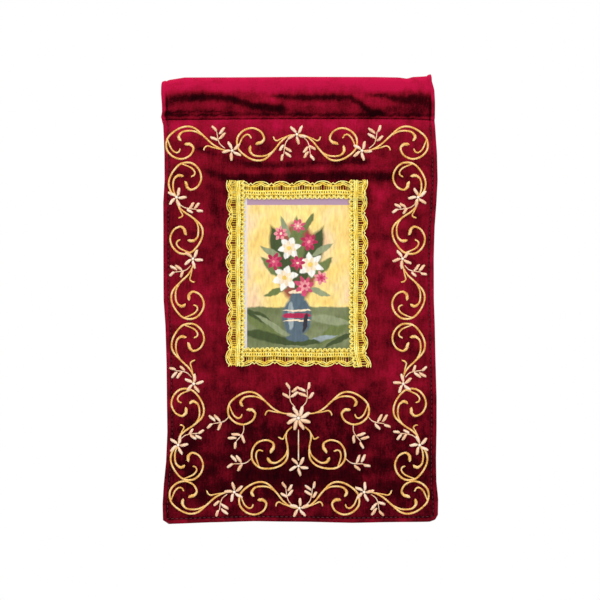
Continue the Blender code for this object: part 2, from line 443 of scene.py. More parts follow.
def two_faced(columns, rows, place):
    """A cloth whose front and back meet in a rounded edge. place(part, rise, face) gives points in mm."""
    bm = bmesh.new()
    bmesh.ops.create_grid(bm, x_segments=len(columns) - 1, y_segments=len(rows) - 1, size=0.5)
    grid = np.array([vert.co for vert in bm.verts])
    part = np.array(columns)[np.rint((grid[:, 0] + 0.5) * (len(columns) - 1)).astype(int)]
    rise = np.array(rows)[np.rint((grid[:, 1] + 0.5) * (len(rows) - 1)).astype(int)]
    bmesh.ops.duplicate(bm, geom=bm.verts[:] + bm.edges[:] + bm.faces[:])
    places = np.concatenate([place(part, rise, -1.0), place(part, rise, 1.0)]) * MM
    for vert, spot in zip(bm.verts, places):
        vert.co = spot
    bmesh.ops.remove_doubles(bm, verts=bm.verts, dist=0.00001)
    bmesh.ops.recalc_face_normals(bm, faces=bm.faces)
    return bm


def rounded(edge):
    """Half the cloth's thickness: nothing at its edge, and full a little way in."""
    return VELVET / 2 * np.sqrt(1 - (1 - np.clip(edge / (VELVET / 2), 0, 1)) ** 2)


def at_stitches(inset, width=0.5):
    """1 along the line of the hem's stitches, fading to 0 beside it."""
    return np.exp(-(((inset - HEM) / width) ** 2))


def plump(inset):
    """How far the turned hem swells between its edge and its stitches."""
    return HEM_PLUMP * ease(inset / 0.8) * (1 - ease((inset - HEM + 0.9) / 0.8))


def from_sides(across, drop):
    left, right = sides(drop)
    return np.minimum(across - left, right - across)


def panel_surface(part, rise, face):
    """Points of the panel's front (face -1) or back (face 1), with its hems and slack waves."""
    level = SEAM[1].drop + (1 - rise) * (FOOT[3].drop - SEAM[1].drop)
    left, right = sides(level)
    across = left + part * (right - left)
    top, foot = drop_of(SEAM, across) + GAP, drop_of(FOOT, across)
    drop = foot + rise * (top - foot)
    hem = np.minimum(np.minimum(part, 1 - part) * (right - left), foot - drop)
    edge = np.minimum(hem, drop - top)
    pucker = 0.16 * np.sin(drop * 1.9 + across * 1.3) * at_stitches(hem, 2.4)
    if face > 0:
        swell = TURNED_THICK * ease(hem / 0.8) * (1 - ease((hem - TURNED_WIDE) / 0.5))
    else:
        swell = plump(hem)
    thick = rounded(edge) + swell - HEM_GROOVE * at_stitches(hem)
    return np.stack([across, lie(across, drop) + face * thick + pucker * ease(edge / 1.2), -drop], axis=1)


HEM_STEPS = (0.0, 0.05, 0.2, 0.45, 0.8, 1.5, 2.2, 2.6, 2.95, 3.3, 3.65, 4.0, 4.5, 5.4, 6.6, 7.3, 7.7, 8.4)
SEAM_STEPS = (0.0, 0.06, 0.25, 0.6, 1.2)
PANEL_WIDE, PANEL_LONG = 181.0, 268.5
columns = crowded(PANEL_WIDE, 2.0, HEM_STEPS, HEM_STEPS)
cut = two_faced(columns, crowded(PANEL_LONG, 2.0, HEM_STEPS, SEAM_STEPS), panel_surface)


def brush(bm, shades):
    """Writes how light the velvet shows at each point, its nap's own tone with painted light and shade, on the
    attribute that the velvet reads.
    """
    layer = bm.verts.layers.float.new("pile")
    places = np.array([vert.co for vert in bm.verts]) / MM
    for vert, shade in zip(bm.verts, shades(places)):
        vert[layer] = shade


def panel_pile_and_light(places):
    across, drop = places[:, 0], -places[:, 2]
    shade = np.interp(drop, *zip(*PILE_AND_SHADE)) + waves(BRUSHED_AND_SHADED, across, drop) + bands(PANEL_SHADE_BANDS, across, drop)
    hem = np.minimum(from_sides(across, drop), drop_of(FOOT, across) - drop)
    # The outer strip of the turned hem is a painted highlight on its rolled edge, and the line of stitches painted
    # shade in its groove.
    shade = shade + 0.12 * (1 - ease((hem - 2.2) / 0.9)) - 0.26 * at_stitches(hem)
    return np.where(places[:, 1] > lie(across, drop), BACK_PILE, shade)


brush(cut, panel_pile_and_light)

velvet, build, shader = new_material(
    "crimson_velvet", Roughness=0.9, Specular_IOR_Level=0.02, Sheen_Weight=0.06, Sheen_Roughness=0.4,
    Sheen_Tint=(1.0, 0.08, 0.16, 1.0),
)
where = build.place()
ribs = build.add("Mapping", {"Vector": where, "Scale": (1.0, 1.0, 0.16)}).outputs[0]
# The attribute holds the velvet's own tone together with painted light and shade.
pile = build.add("Attribute", attribute_name="pile").outputs["Fac"]
mottle = build.span(build.noise(where, 100.0, 3.0), 0.25, 0.75, -0.20, 0.20)
streak = build.span(build.noise(ribs, 900.0, 1.0), 0.25, 0.75, -0.07, 0.07)
fleck = build.span(build.noise(where, 1100.0, 3.0), 0.25, 0.75, -0.12, 0.12)
shade = build.math("ADD", build.math("ADD", pile, mottle), build.math("ADD", streak, fleck))
build.put(shader.inputs["Base Color"], build.tones(
    shade, (0.0, 0.011, 0.0002, 0.0013), (0.22, 0.036, 0.0005, 0.0025), (0.5, 0.158, 0.0031, 0.0104),
    (0.75, 0.30, 0.0045, 0.024), (1.0, 0.43, 0.0055, 0.046)))
nap = build.math("ADD", build.noise(where, 1500.0, 2.0), build.math("MULTIPLY", build.noise(ribs, 1100.0), 0.6))
build.bump(shader, 0.45, 0.00035, nap)

panel = add_piece("panel_cloth", cut, velvet)
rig.ride(panel, "root")
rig.replaces(panel, "velvet_panel")
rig.slot(panel, "velvet")


# ---------------------------------------------------------------- rod pocket
# The head of the same velvet, folded to the back and sewn down, makes the tunnel for the rod. It
# stands puffed out with nothing in it, its ends are hemmed, and its right-hand corner is pulled up
# into a small ear. It is its own piece because it goes round a hollow.
POCKET_MIDDLE = 0.9
POCKET_SWELL = 0.4
POCKET_GROOVE = 0.35
POCKET_ROUND = 60.0
POCKET_BACK_PILE = 0.42
POCKET_TOP = [Cross(*row) for row in (
    (-92.3, 3.6), (-87, 2.0), (-77, 0.4), (-40, 0.3), (0, 0), (50, 0.1), (66, 0.4), (71.5, 1.2), (75, 0.1),
    (83, -0.3), (87.3, -1.6), (90, 1.5),
)]
Belly = namedtuple("Belly", "part depth")
BELLY = [Belly(*row) for row in (
    (0, 0), (0.03, 2.4), (0.10, 4.1), (0.22, 5.0), (0.38, 5.3), (0.54, 5.0), (0.70, 4.0), (0.85, 2.8),
    (0.97, 1.7), (1, 0),
)]
# Small puckers of the tunnel's wall: rise is how far the wall stands out.
PUCKERS = [Wave(*row) for row in (
    (-40, 13, 60, 2.2, 0.01, -0.7), (40, 12, 50, 2.2, -0.01, -0.7), (-88, 24, 6, 2.2, 0.15, 1.0),
    (-82, 27, 9, 1.4, -0.05, -0.9), (-20, 24.4, 90, 1.1, 0, 0.45), (50, 24.6, 50, 1.1, 0, 0.5),
    (84, 23, 6, 2.0, 0.25, -1.1), (80, 26, 7, 1.3, -0.1, 0.9), (68, 3, 5, 2.5, 0.4, -0.8),
    (-70, 6, 14, 2.0, 0.08, 0.5), (10, 19, 24, 2.5, 0.03, 0.35), (-58, 18, 14, 2.5, -0.04, 0.35),
)]


def pocket_surface(part, rise, face):
    """Points of the tunnel's wall: rise goes up the front from the seam, over the fold and down the back."""
    up = np.where(rise < 0.5, 1 - 2 * rise, 2 * rise - 1)
    front = np.where(rise < 0.5, -1.0, 1.0)
    fall = 0.5 - 0.5 * np.cos(math.pi * up)
    level = fall * SEAM[1].drop
    left, right = sides(level)
    across = left + part * (right - left)
    top = drop_of(POCKET_TOP, across)
    seam = drop_of(SEAM, across)
    depth = along(BELLY, "part", "depth", fall)
    swell = POCKET_SWELL * np.sin(3 * math.pi * part + 1) * np.sin(math.pi * fall)
    drop = top + fall * (seam - top)
    side = np.minimum(part, 1 - part) * (right - left)
    edge = np.minimum(side, np.minimum(rise, 1 - rise) * POCKET_ROUND)
    pucker = np.where(front < 0, waves(PUCKERS, across, drop), 0.2 * np.sin(across * 0.35 + drop * 0.5))
    pucker = pucker * ease(side / 2.0) * np.sin(math.pi * fall) ** 0.5
    out = np.maximum(depth + swell - VELVET / 2, 0.0) + pucker
    # Outwards is mostly back or forth on the belly, and up over the top fold.
    slope = np.gradient([row.depth for row in BELLY], [row.part for row in BELLY])
    tilt = np.interp(fall, [row.part for row in BELLY], np.clip(slope, -60, 60)) / (seam - top)
    away = np.stack([np.zeros_like(tilt), front, tilt], axis=1)
    away = away / np.linalg.norm(away, axis=1, keepdims=True)
    middle = np.stack([across, POCKET_MIDDLE + front * out, -drop], axis=1)
    hemmed = plump(side) - POCKET_GROOVE * at_stitches(side) if face < 0 else 0.0
    return middle + away * (-face * (rounded(edge) + hemmed))[:, None]


END_STEPS = (0.0, 0.06, 0.25, 0.6, 1.2, 2.0, 2.6, 2.95, 3.3, 3.65, 4.1, 5.0, 6.2)
around = np.concatenate([[0, 0.002, 0.008], np.linspace(0.02, 0.98, 73), [0.992, 0.998, 1]])
tunnel = two_faced(crowded(PANEL_WIDE, 1.5, END_STEPS, END_STEPS), around, pocket_surface)

# How light the pocket shows down its front: painted light over the puffed top and painted shade below it, with bands
# of painted shade and light at its creases and seam, and patches of brushed pile and painted shade, as on the panel.
POCKET_PILE_AND_LIGHT = (
    (-2, 0.92), (3, 1.0), (8.5, 0.96), (11, 0.78), (13.5, 0.62), (17, 0.57), (22, 0.50), (25, 0.42), (28, 0.50),
)
POCKET_SHADE_BANDS = [Band(*row) for row in (
    (((-94, 17, 3), (-88, 17, 4), (-82, 14.6, 3.2), (-70, 13.8, 2.8), (-58, 13.4, 2.7), (-49, 13.8, 2.6),
      (-41, 16.3, 2.3), (-34, 18.4, 2.2), (-22, 20.2, 2.4), (-10, 21.3, 2.4)), -0.46),
    (((-19, 12.6, 1.0), (-10, 13.2, 1.8), (-1, 13.8, 2.4), (23, 13.8, 2.3), (33, 13.5, 1.8), (38, 16.3, 2.2),
      (43, 20.5, 2.4), (47, 22.9, 2.4), (56, 24.2, 1.6)), -0.44),
    (((47, 12.2, 0.8), (57, 12.6, 1.8), (64, 15, 3), (74, 15, 3.4), (80, 14.4, 4), (88, 17.5, 4.5),
      (96, 18, 4)), -0.40),
    (((56, 21.5, 1.5), (66, 21.5, 3), (78, 22.5, 4.2), (94, 23.5, 4.2)), -0.20),
    (((-90, 23, 0.5), (-78, 23.1, 0.6), (-62, 22.7, 0.6), (-50, 23.4, 0.5)), -0.26),
    (((-92, 24.6, 1.5), (-87, 24.6, 1.5), (-82, 25.5, 0.6), (-60, 25.2, 0.5), (-40, 25.4, 0.4)), -0.26),
    (((-50, 23.9, 0.7), (-40, 24, 1), (-20, 24.9, 0.8), (10, 25, 1), (36, 25.2, 1.3), (84, 25.5, 1),
      (92, 24.5, 1)), -0.18),
    (((-92, 28.4, 0.5), (-40, 27.9, 0.45), (40, 27.6, 0.45), (75, 27.9, 0.5), (92, 28.8, 0.5)), -0.24),
    (((-88, 26.6, 0.5), (-40, 26.4, 0.5), (40, 26.3, 0.5), (86, 26.7, 0.5)), 0.14),
)]
POCKET_BRUSHED_AND_SHADED = [Wave(*row) for row in (
    (-70, 10.5, 14, 1.6, 0, -0.12), (-38, 10, 8, 2, 0, -0.10), (62, 10.5, 12, 1.5, 0, -0.14),
    (84, 9, 5, 3, 0.2, 0.1), (76, 1.8, 4, 1.2, -0.2, -0.16), (-91, 12, 3, 10, 0, 0.1), (-64, 19, 20, 2, 0, 0.08),
    (8, 19, 18, 2.4, 0, 0.10), (52, 17.5, 7, 2.6, -0.15, 0.12), (-24, 16, 8, 1.6, 0.05, 0.14),
)]


def pocket_pile_and_light(places):
    across, drop = places[:, 0], -places[:, 2]
    ribbed = drop + 0.5 * np.sin(across * 3.9) * np.sin(across * 0.83 + 2)
    shade = np.interp(ribbed, *zip(*POCKET_PILE_AND_LIGHT)) + bands(POCKET_SHADE_BANDS, across, ribbed)
    shade = shade + waves(POCKET_BRUSHED_AND_SHADED, across, drop)
    side = from_sides(across, drop)
    # Lower down, the ends of the tunnel take a painted highlight on their rolled hems, and the lines of stitches
    # painted shade in their grooves.
    low = ease((drop - 9.0) / 6.0)
    shade = shade + 0.5 * low * (1 - ease((side - 2.0) / 0.9)) - (0.06 + 0.2 * low) * at_stitches(side, 0.55)
    return np.where(places[:, 1] > POCKET_MIDDLE, POCKET_BACK_PILE, shade)


brush(tunnel, pocket_pile_and_light)
pocket = add_piece("pocket_cloth", tunnel, velvet)
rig.ride(pocket, "root")
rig.replaces(pocket, "rod_pocket")
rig.slot(pocket, "velvet")
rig.sheet(pocket, flat=(0.188, 0.066), held="hung")
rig.sheet(panel, flat=(0.192, 0.282), held="hung", rests_on=[pocket])


# ---------------------------------------------------------------- thread work: the scrolls
# Machine embroidery in shining gold thread: every line is a row of short slanting satin stitches, laid
# close together over the velvet's pile. One scroll, with its flower, tendril and sprig, is worked
# again and again, turned and flipped, down both sides and along the head and the foot.
Placing = namedtuple("Placing", "across up turn flip flower short")
THREAD_PITCH = 0.40
THREAD_RADIUS = 0.23
# The border's midline leans a little to the right on its way down, and its quarters meet at the waist.
MIDLINE_TOP = -2.0
MIDLINE_LEAN = 1.5 / 240
MIDLINE_START = 45
BORDER_WAIST = -162.5
# How far the scrolls in the two lower corners sit from where the mirror puts them.
FOOT_CORNER = (0.8, -1.6)

# Each line is (across, up, width) in mm from the middle of its scroll; the stem runs to the flower.
FLOWER_PLACE = (35.0, -5.2)
STEM = (
    (35, -5.2, 1.0), (29, -4.6, 1.1), (22.5, -1.2, 1.3), (16.5, 4.2, 1.4), (10, 9.8, 1.45), (4, 10.9, 1.4),
    (-2.5, 8.3, 1.4), (-8, 3, 1.45), (-8.6, -4, 1.5), (-4.5, -9, 1.45), (1.5, -10.7, 1.4), (7, -8.3, 1.4),
    (9.2, -4, 1.6), (7.6, -1.4, 2.2), (5.4, -0.8, 2.6), (3.9, -0.5, 1.8),
)
INNER = (
    (14.5, 5.5, 0.8), (10.5, 7.6, 1.2), (6, 8.1, 1.3), (2, 7.3, 1.4), (-0.2, 4.9, 2.0), (-0.2, 3, 2.5),
    (0.4, 1.6, 1.7),
)
HOOK = ((-8, 2.2, 0.8), (-6.6, -1.6, 1.1), (-5, -4.6, 1.2), (-2.6, -6.4, 1.25), (-0.6, -6, 1.2), (0.4, -4.2, 1.1))
TENDRIL = ((27, -4.2, 0.8), (22, -2.9, 1.0), (18.8, -2, 1.1), (16.9, -2.9, 1.15), (16.1, -4.6, 1.1))
TWIG = ((30, -3.4, 0.55), (27, -0.8, 0.65), (25.6, 2.4, 0.65), (24.8, 7.2, 0.55))
LEAVES = (
    ((24.3, 7.8), (22.1, 11.4)), ((26.4, 6.3), (30.2, 9.9)), ((26.2, 2.9), (30.6, 6.4)),
    ((24.9, 1.7), (20.8, 4.3)),
)
PETAL_TURNS = (111, 39, -32, -98, -174)
PETAL_REACH = (1.3, 6.5)
LEAF_SHAPE = ((0.0, 0.8), (0.3, 2.2), (0.6, 2.6), (0.85, 1.8), (1.0, 0.6))

SCROLLS = (
    Placing(-78.2, -43.7, 0, 1, (-43.2, -48.9), False),
    Placing(-31.1, -44.5, 0, -1, (0.0, -38.0), False),
    Placing(-74.6, -65.7, -90, -1, (-80.4, -80.0), True),
    Placing(-74.1, -108.7, 90, -1, (-80.4, -80.0), False),
    Placing(-73.4, -152.0, 90, 1, (-69.7, -120.9), False),
)
# Each flower: across and up from the midline, and its turn.
FLOWERS = ((-43.2, -48.9, 0), (0.0, -38.0, 16), (-80.4, -80.0, -41), (-69.7, -120.9, -50))
chance = np.random.default_rng(11)


def flow(line, pitch):
    """Points a pitch apart on a smooth curve through the line's points: all their columns, and the heading."""
    line = np.array(line, float)
    padded = np.vstack([2 * line[0] - line[1], line, 2 * line[-1] - line[-2]])
    step = np.linspace(0, 1, 12, endpoint=False)[:, None]
    spans = [
        0.5 * (2 * b + (c - a) * step + (2 * a - 5 * b + 4 * c - d) * step**2 + (3 * b - a - 3 * c + d) * step**3)
        for a, b, c, d in zip(padded, padded[1:], padded[2:], padded[3:])
    ]
    fine = np.vstack([*spans, line[-1:]])
    run = np.concatenate([[0], np.cumsum(np.linalg.norm(np.diff(fine[:, :2], axis=0), axis=1))])
    at = np.linspace(0, run[-1], max(2, round(run[-1] / pitch)))
    even = np.stack([np.interp(at, run, column) for column in fine.T], axis=1)
    heading = np.arctan2(np.gradient(even[:, 1]), np.gradient(even[:, 0]))
    return even, heading


def satin(line, tone=0.5, lift=0.0, slant=1.0, pitch=THREAD_PITCH, radius=THREAD_RADIUS, arch=0.42):
    """A row of slanting stitches along a line of (across, up, width).

    Each stitch is (across, up, angle, length, radius, arch, lift, tone).
    """
    spots, heading = flow(line, pitch)
    wide = spots[:, 2]
    tones = tone + 0.16 * np.sin(np.arange(len(wide)) * 0.21 + chance.uniform(0, 6))
    tones = tones + chance.uniform(-0.2, 0.2, len(wide))
    tilt = heading + slant + chance.uniform(-0.08, 0.08, len(wide))
    length = np.maximum(wide / np.abs(np.sin(slant)), 2.2 * radius)
    fill = np.ones(len(wide))
    return np.stack([*spots[:, :2].T, tilt, length, radius * fill, arch * wide, lift * fill, tones], axis=1)


def running(line, length, gap, radius, lift, tone=0.5):
    """A plain running stitch along a line."""
    spots, heading = flow(line, length + gap)
    fill = np.ones(len(spots))
    tones = tone + chance.uniform(-0.15, 0.15, len(spots))
    return np.stack([
        *spots[:, :2].T, heading, length * fill, radius * fill, 0.1 * fill, lift * fill, tones], axis=1)


def leaf(base, tip, tone=0.5, widest=1.0, lift=0.05):
    base, tip = np.array(base, float), np.array(tip, float)
    return satin([(*(base + part * (tip - base)), wide * widest) for part, wide in LEAF_SHAPE], tone, lift, 0.75)


def flower(across, up, turn, size=1.0, petals=PETAL_TURNS, lift=0.15):
    """Satin petals round a knot of crossing stitches."""
    rows = []
    for petal in petals:
        angle = math.radians(petal + turn)
        ray = np.array([math.cos(angle), math.sin(angle)]) * size
        middle = np.array([across, up])
        rows.append(leaf(middle + PETAL_REACH[0] * ray, middle + PETAL_REACH[1] * ray, 0.55, 1.05 * size, lift))
    for number in range(6):
        angle = turn + number * math.pi / 6
        rows.append(np.array([[across, up, angle, 2.3 * size, THREAD_RADIUS, 0.75, lift + 0.35, 1.0]]))
    return np.vstack(rows)


thread = bmesh.new()
bmesh.ops.create_uvsphere(thread, u_segments=6, v_segments=4, radius=1.0)
one_stitch = bpy.data.meshes.new("one_stitch")
thread.to_mesh(one_stitch)
thread.free()


def on_velvet(across, up, height):
    return np.stack([across, lie(across, -up) - VELVET / 2 - height, up], axis=-1)


def work(name, rows, material, onto=on_velvet):
    """Lays the stitches: each a copy of one rounded thread, stretched, arched and turned to its place."""
    rows = np.vstack(rows)
    shape = np.array([vert.co for vert in one_stitch.vertices])
    ends = shape[:, 2] * 0.5
    round_ = np.linalg.norm(shape[:, :2], axis=1, keepdims=True)
    ring = shape[:, :2] / np.maximum(round_, 1e-6) * round_**0.4
    across, up, angle, length, radius, arch, lift, _ = (column[:, None] for column in rows.T)
    run = ends * length
    side = ring[:, 0] * radius
    height = ring[:, 1] * radius + arch * (1 - 4 * ends**2) + lift
    across = across + run * np.cos(angle) - side * np.sin(angle)
    places = onto(across, up + run * np.sin(angle) + side * np.cos(angle), height)
    bm = bmesh.new()
    for _ in range(len(rows)):
        bm.from_mesh(one_stitch)
    piece = add_piece(name, bm, material)
    piece.data.vertices.foreach_set("co", (places * MM).ravel())
    shades = piece.data.attributes.new("tone", "FLOAT", "POINT")
    shades.data.foreach_set("value", np.repeat(np.clip(rows[:, 7], 0, 1), len(shape)))
    piece.data.update()
    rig.ride(piece, "root")
    return piece


def thread_group():
    """Shining thread: light and dark strands by the stitch's tone, and fine filaments as a height."""
    tree, build, given, put = new_group(
        "shining_thread", ("Deep", "Middle", "Bright", "Filament"), ("Color", "Height"))
    where = build.place()
    tone = build.add("Attribute", attribute_name="tone").outputs["Fac"]
    strand = build.noise(where, given["Filament"], 2.0)
    tone = build.math("ADD", tone, build.span(strand, 0.3, 0.7, -0.12, 0.12))
    lower = build.mix(build.span(tone, 0.05, 0.5), given["Deep"], given["Middle"])
    build.put(put["Color"], build.mix(build.span(tone, 0.5, 0.95), lower, given["Bright"]))
    build.put(put["Height"], strand)
    return tree


shining_thread = thread_group()


def thread_material(name, deep, middle, bright, filament=2600.0, **constants):
    material, build, shader = new_material(name, **constants)
    node = build.add("Group", node_tree=shining_thread)
    for socket, colour in (("Deep", deep), ("Middle", middle), ("Bright", bright)):
        node.inputs[socket].default_value = (*colour, 1.0)
    node.inputs["Filament"].default_value = filament
    build.put(shader.inputs["Base Color"], node.outputs["Color"])
    build.bump(shader, 0.35, 0.0002, node.outputs["Height"])
    return material


gold_thread = thread_material(
    "gold_thread", (0.55, 0.19, 0.02), (0.93, 0.53, 0.12), (1.0, 0.78, 0.42),
    Roughness=0.38, Specular_IOR_Level=0.5, Sheen_Weight=0.12)
pale_thread = thread_material(
    "pale_gold_thread", (0.75, 0.36, 0.15), (0.97, 0.64, 0.40), (1.0, 0.86, 0.72),
    Roughness=0.38, Specular_IOR_Level=0.5, Sheen_Weight=0.15)
crimson_thread = thread_material(
    "crimson_thread", (0.03, 0.001, 0.003), (0.09, 0.003, 0.008), (0.22, 0.008, 0.02), Roughness=0.6)


def set_out(line, spot):
    """A line of the scroll moved to its place from the midline, with its stem stretched to reach the flower."""
    line = np.array(line, float)
    turn = math.radians(spot.turn)
    gap = np.array(spot.flower) - (spot.across, spot.up)
    local = np.array([
        gap[0] * math.cos(turn) + gap[1] * math.sin(turn),
        spot.flip * (gap[1] * math.cos(turn) - gap[0] * math.sin(turn)),
    ])
    if not spot.short:
        line[:, :2] += (local - FLOWER_PLACE) * ease((line[:, :1] - 10) / (FLOWER_PLACE[0] - 10))
    elif line[0, 0] == FLOWER_PLACE[0]:
        line = np.vstack([[*local, 0.9], line[4:]])
    line[:, 1] *= spot.flip
    flat = np.stack([
        spot.across + line[:, 0] * math.cos(turn) - line[:, 1] * math.sin(turn),
        spot.up + line[:, 0] * math.sin(turn) + line[:, 1] * math.cos(turn),
    ], axis=1)
    return np.hstack([flat, line[:, 2:]])


def quarter(line, side, half):
    """A line from the upper left quarter, mirrored to another quarter and moved on to the leaning midline."""
    line = np.array(line, float)
    line[:, 0] *= side
    if half < 0:
        line[:, 1] = 2 * BORDER_WAIST - line[:, 1]
    line[:, 0] += MIDLINE_TOP + MIDLINE_LEAN * (-line[:, 1] - MIDLINE_START)
    return line


def scroll(spot, side, place):
    """One scroll's lines in satin, each moved by place to its own part of the velvet."""
    lines = (STEM, INNER, HOOK) if spot.short else (STEM, INNER, HOOK, TENDRIL)
    return [
        satin(place(set_out(line, spot)), 0.55, 0.0 if line is STEM else 0.06, slant=0.9 * side) for line in lines
    ]


def sprig(spot, place):
    """A twig and its four leaves."""
    leaves = [place(set_out([(*base, 1), (*tip, 1)], spot)) for base, tip in LEAVES]
    twig = satin(place(set_out(TWIG, spot)), 0.5, 0.05, slant=0.7)
    return [twig] + [leaf(ends[0, :2], ends[1, :2]) for ends in leaves]


def mirrored_turn(degrees, side, half):
    turn = degrees if side > 0 else 180 - degrees
    return turn if half > 0 else -turn


for half, half_name in ((1, "upper"), (-1, "lower")):
    for side, side_name in ((1, "left"), (-1, "right")):
        scrolls, sprays = [], []
        place = partial(quarter, side=side, half=half)
        for spot in SCROLLS:
            if half < 0 and spot is SCROLLS[0]:
                spot = spot._replace(across=spot.across + FOOT_CORNER[0], up=spot.up + FOOT_CORNER[1])
            scrolls += scroll(spot, side, place)
            if not spot.short:
                sprays += sprig(spot, place)
        for across, up, turn in FLOWERS:
            if across == 0.0 and side < 0:
                continue
            petals = [mirrored_turn(petal + turn, side, half) for petal in PETAL_TURNS]
            sprays.append(flower(*place([(across, up)])[0], 0, petals=petals))
        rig.slot(work(f"scrolls_{half_name}_{side_name}", scrolls, gold_thread), "gold_thread")
        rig.slot(work(f"flowers_{half_name}_{side_name}", sprays, pale_thread), "gold_thread")


# ---------------------------------------------------------------- thread work: the middle ornament
# The same gold thread below the print: an eight-petalled rosette with scrolls and sprigs to both
# sides, and a flower hanging on a stem. It fills the foot of the velvet between the side borders.
ROSETTE = (-1.0, -227.0)
ROSETTE_PETALS = tuple(range(22, 360, 45))
# Places are from the middle of the rosette, on its left side.
ORNAMENT_SCROLLS = (
    Placing(-38.0, 6.5, 0, 1, (-5.0, 3.0), False),
    Placing(-21.5, -25.5, 40, -1, (-4.5, -6.0), False),
)
# Each sprig: where it starts, and its heading in degrees.
SPRIGS = (((-2.5, 7.5), 106), ((-46.0, 1.5), 205), ((-36.5, -4.4), 246), ((-31.5, -27.0), 196))
PENDANT = ((0, -8.0, 0.7), (0, -14, 0.9), (0, -21, 0.9), (0, -28, 0.9))
PENDANT_DROP = 32
SPRIG_BASE = (30.0, -3.4)
SPRIG_HEADING = 116.0


def sprig_place(base, heading):
    """The placing that puts the foot of the twig at its base, growing towards its heading."""
    turn = math.radians(heading - SPRIG_HEADING)
    away = (
        SPRIG_BASE[0] * math.cos(turn) - SPRIG_BASE[1] * math.sin(turn),
        SPRIG_BASE[0] * math.sin(turn) + SPRIG_BASE[1] * math.cos(turn),
    )
    return Placing(base[0] - away[0], base[1] - away[1], heading - SPRIG_HEADING, 1, (0, 0), True)


def from_rosette(line, side):
    line = np.array(line, float)
    line[:, 0] = ROSETTE[0] + side * line[:, 0]
    line[:, 1] += ROSETTE[1]
    return line


branches, foliage = [], []
for side in (1, -1):
    place = partial(from_rosette, side=side)
    for spot in ORNAMENT_SCROLLS:
        branches += scroll(spot, side, place)
    for base, heading in SPRIGS:
        foliage += sprig(sprig_place(base, heading), place)
foliage.append(satin(from_rosette(PENDANT, 1), 0.5, 0.05, slant=0.7))
foliage.append(flower(*ROSETTE, 0, 1.25, ROSETTE_PETALS))
foliage.append(flower(ROSETTE[0], ROSETTE[1] - PENDANT_DROP, 16))
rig.slot(work("ornament_branches", branches, gold_thread), "gold_thread")
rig.slot(work("ornament_flowers", foliage, pale_thread), "gold_thread")


# ---------------------------------------------------------------- top-stitching
# A plain running stitch in crimson thread, sunk in its groove, holds down the turned hems.
STITCH_LONG, STITCH_GAP = 2.3, 0.7
STITCH_RADIUS, STITCH_SUNK = 0.24, -0.32
hem_left = [(sides(drop)[0] + HEM, -drop) for drop in np.arange(31, 294, 6.0)]
hem_right = [(sides(drop)[1] - HEM, -drop) for drop in np.arange(31, 292, 6.0)]
hem_foot = [(x, -drop_of(FOOT, x) + HEM) for x in np.arange(-88, 89, 8.0)]
rows = [
    running(line, STITCH_LONG, STITCH_GAP, STITCH_RADIUS, STITCH_SUNK) for line in (hem_left, hem_right, hem_foot)
]
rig.slot(work("hem_stitches", rows, crimson_thread), "velvet")


# ---------------------------------------------------------------- gold gimp braid
# Four lengths of gimp frame the print: wrapped cords bound side by side, with small picots on the inner
# edge, raised cords along the middle, and a scalloped outer edge of looped cords. Under the middle of the
# cords lies a dark sheet, painted shade for the holes between them. The upright lengths lie over the ends of the level
# ones.
Gimp = namedtuple("Gimp", "name side height turn length first pitch upright")
GIMPS = (
    Gimp("top", 0, 1, 0.0, 91.6, -37.7, 13.7, False),
    Gimp("right", 1, 0, -math.pi / 2, 124.4, -60.3, 13.3, True),
    Gimp("bottom", 0, -1, math.pi, 91.6, -47.2, 13.75, False),
    Gimp("left", -1, 0, math.pi / 2, 123.4, -55.5, 12.65, True),
)
# How far in front of the middle of the velvet the gimp lies, on each thing under it.
ON_VELVET = 0.95
ON_CARD = 2.25
ON_BRAID = 3.7
LAP = 14.2
HOLE_PITCH = 1.6
CORD_PITCH = 0.46
CORD_RADIUS = 0.27
SHADE_SHEET_OUT = 3.3
SHADE_SHEET_WIDE = 4.2
# The right-hand length strays outwards by this much below its middle.
STRAY, STRAY_FROM, STRAY_RUN = 2.2, 50, 13
# Lines of cord at each scallop: (along, out, width) from the middle of the scallop.
SCALLOP = (
    (-6.4, 10.6, 0.7), (-5.7, 9.7, 0.7), (-5.0, 9.9, 0.75), (-3.6, 11.0, 0.75), (-1.8, 11.6, 0.75),
    (0, 11.8, 0.75), (1.8, 11.6, 0.75), (3.6, 11.0, 0.75), (5.0, 9.9, 0.75), (5.7, 9.7, 0.7),
)
ARCS = (
    ((-5.2, 8.9, 0.9), (-3.8, 9.4, 0.9), (-2.4, 9.9, 0.9), (0, 10.9, 0.95), (2.4, 9.9, 0.9), (3.8, 9.4, 0.9),
     (5.2, 8.9, 0.9)),
    ((-5.8, 8.4, 1.0), (-3.2, 8.6, 1.0), (-1.6, 9.0, 1.0), (0, 9.9, 1.1), (1.6, 9.0, 1.0), (3.2, 8.6, 1.0),
     (5.8, 8.4, 1.0)),
)
PICOT = (
    (-1.6, 1.9, 0.8), (-1.15, 0.9, 0.85), (-0.5, 0.15, 0.9), (0.5, 0.15, 0.9), (1.15, 0.9, 0.85), (1.6, 1.9, 0.8),
)
# Bars across the braid: their place along from the middle of the scallop, and their width. The
# scallops take turns at one open slit in their middle, and two.
BARS = (
    ((-0.95, 0.65), (0.95, 0.65), (-2.3, 0.85), (2.3, 0.85), (-3.6, 1.0), (3.6, 1.0), (-4.95, 1.3), (4.95, 1.3),
     (6.4, 1.5)),
    ((0.0, 0.7), (-1.7, 0.7), (1.7, 0.7), (-3.1, 0.95), (3.1, 0.95), (-4.5, 1.2), (4.5, 1.2), (-5.9, 1.4),
     (6.4, 1.5)),
)
BAR_ENDS = (5.9, 8.7)


